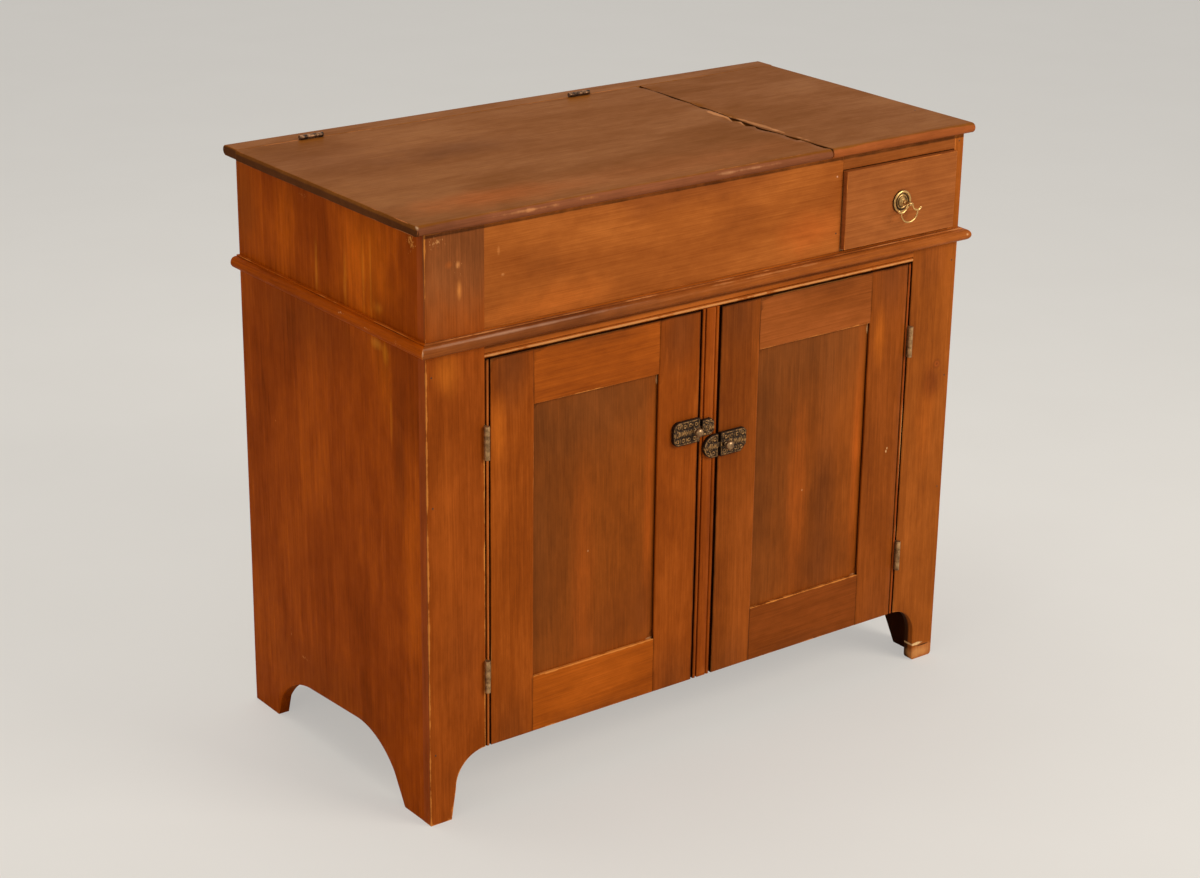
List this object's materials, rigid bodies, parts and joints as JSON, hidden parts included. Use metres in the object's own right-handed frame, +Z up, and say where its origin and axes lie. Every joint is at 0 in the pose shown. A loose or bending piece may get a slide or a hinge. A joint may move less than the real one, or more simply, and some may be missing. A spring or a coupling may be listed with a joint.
{
  "type": "dry sink cabinet",
  "caption": "Antique stained-pine dry sink: well under a lift lid, small drawer with brass bail pull, panelled doors with butt hinges and slide latches, bracket feet.",
  "frame": {"origin": "on the floor, at the middle of the cabinet's overall width and depth", "axes": "+Z up, +X to the right along the front, -Y out of the front; the doors and drawer open towards -Y"},
  "size_m": [1.05, 0.5604, 0.9343],
  "materials": {
    "front_pine": "worn shellac over red-brown stained pine, warm orange",
    "door_pine": "worn red-brown stained pine with rubbed edges",
    "panel_pine": "dark, soiled stained pine, redder towards the frame",
    "side_pine": "dark red-brown stained pine, worn at the edges",
    "top_pine": "brown worn pine top, satin, with rings, knots and scratches",
    "moulding_pine": "stained pine moulding rubbed light on its nose",
    "inner_pine": "bare, aged, unfinished pine inside and behind",
    "hinge_iron": "aged iron butt hinge, brown patina",
    "latch_iron": "aged cast iron, brassy brown on the high spots",
    "pull_brass": "worn bright brass with dark recesses",
    "fastener_steel": "old dull steel screws and nails"
  },
  "bodies": {
    "carcass": {"left_side": "side_pine", "right_side": "side_pine", "left_stile": "front_pine", "right_stile": "front_pine", "beaded_rail": "front_pine", "centre_stile": "front_pine", "well_front": "front_pine", "drawer_lintel": "front_pine", "waist_moulding_front": "moulding_pine", "waist_moulding_left": "moulding_pine", "waist_moulding_right": "moulding_pine", "fixed_top": "top_pine", "rear_rail": "top_pine", "deck": "inner_pine", "shelf": "inner_pine", "cupboard_floor": "inner_pine", "well_divider": "inner_pine", "back_boards": "inner_pine", "drawer_stop": "inner_pine", "left_door_hinge_frame_leaves": "hinge_iron", "left_door_hinge_pins": "hinge_iron", "right_door_hinge_frame_leaves": "hinge_iron", "right_door_hinge_pins": "hinge_iron", "lid_hinge_rail_leaves": "hinge_iron", "lid_hinge_pins": "hinge_iron", "left_latch_keeper": "latch_iron", "right_latch_keeper": "latch_iron", "frame_screws": "fastener_steel", "cut_nails": "fastener_steel"},
    "lid": {"lid": "top_pine", "lid_hinge_lid_leaves": "hinge_iron", "lid_screws": "fastener_steel"},
    "drawer": {"drawer_front": "front_pine", "drawer_left_side": "inner_pine", "drawer_right_side": "inner_pine", "drawer_back": "inner_pine", "drawer_bottom": "inner_pine", "pull_rosette": "pull_brass", "pull_nut": "pull_brass"},
    "drawer_bail": {"pull_bail": "pull_brass"},
    "left_door": {"left_door_hinge_stile": "door_pine", "left_door_latch_stile": "door_pine", "left_door_top_rail": "door_pine", "left_door_bottom_rail": "door_pine", "left_door_panel": "panel_pine", "left_door_hinge_door_leaves": "hinge_iron", "left_door_screws": "fastener_steel", "left_latch_case": "latch_iron"},
    "left_bolt": {"left_latch_bolt": "latch_iron", "left_latch_knob": "pull_brass"},
    "right_door": {"right_door_hinge_stile": "door_pine", "right_door_latch_stile": "door_pine", "right_door_top_rail": "door_pine", "right_door_bottom_rail": "door_pine", "right_door_panel": "panel_pine", "right_door_hinge_door_leaves": "hinge_iron", "right_door_screws": "fastener_steel", "right_latch_case": "latch_iron"},
    "right_bolt": {"right_latch_bolt": "latch_iron", "right_latch_knob": "pull_brass"}
  },
  "joints": [
    {"name": "lid_hinge", "type": "hinge", "parent": "carcass", "child": "lid", "pos_m": [-0.1425, 0.2367, 0.9308], "axis": [-1, 0, 0], "range_deg": [0, 95]},
    {"name": "left_door_hinge", "type": "hinge", "parent": "carcass", "child": "left_door", "pos_m": [-0.4085, -0.25335, 0.404], "axis": [0, 0, -1], "range_deg": [0, 170]},
    {"name": "right_door_hinge", "type": "hinge", "parent": "carcass", "child": "right_door", "pos_m": [0.412, -0.25335, 0.3955], "axis": [0, 0, 1], "range_deg": [0, 170]},
    {"name": "drawer_slide", "type": "slide", "parent": "carcass", "child": "drawer", "axis": [0, -1, 0], "range_m": [-0.0085, 0.3]},
    {"name": "drawer_bail_swing", "type": "hinge", "parent": "drawer", "child": "drawer_bail", "pos_m": [0.37175, -0.2768, 0.822], "axis": [-1, 0, 0], "range_deg": [-25, 150]},
    {"name": "left_bolt_slide", "type": "slide", "parent": "left_door", "child": "left_bolt", "axis": [1, 0, 0], "range_m": [0, 0.0045]},
    {"name": "right_bolt_slide", "type": "slide", "parent": "right_door", "child": "right_bolt", "axis": [-1, 0, 0], "range_m": [0, 0.0045]}
  ]
}
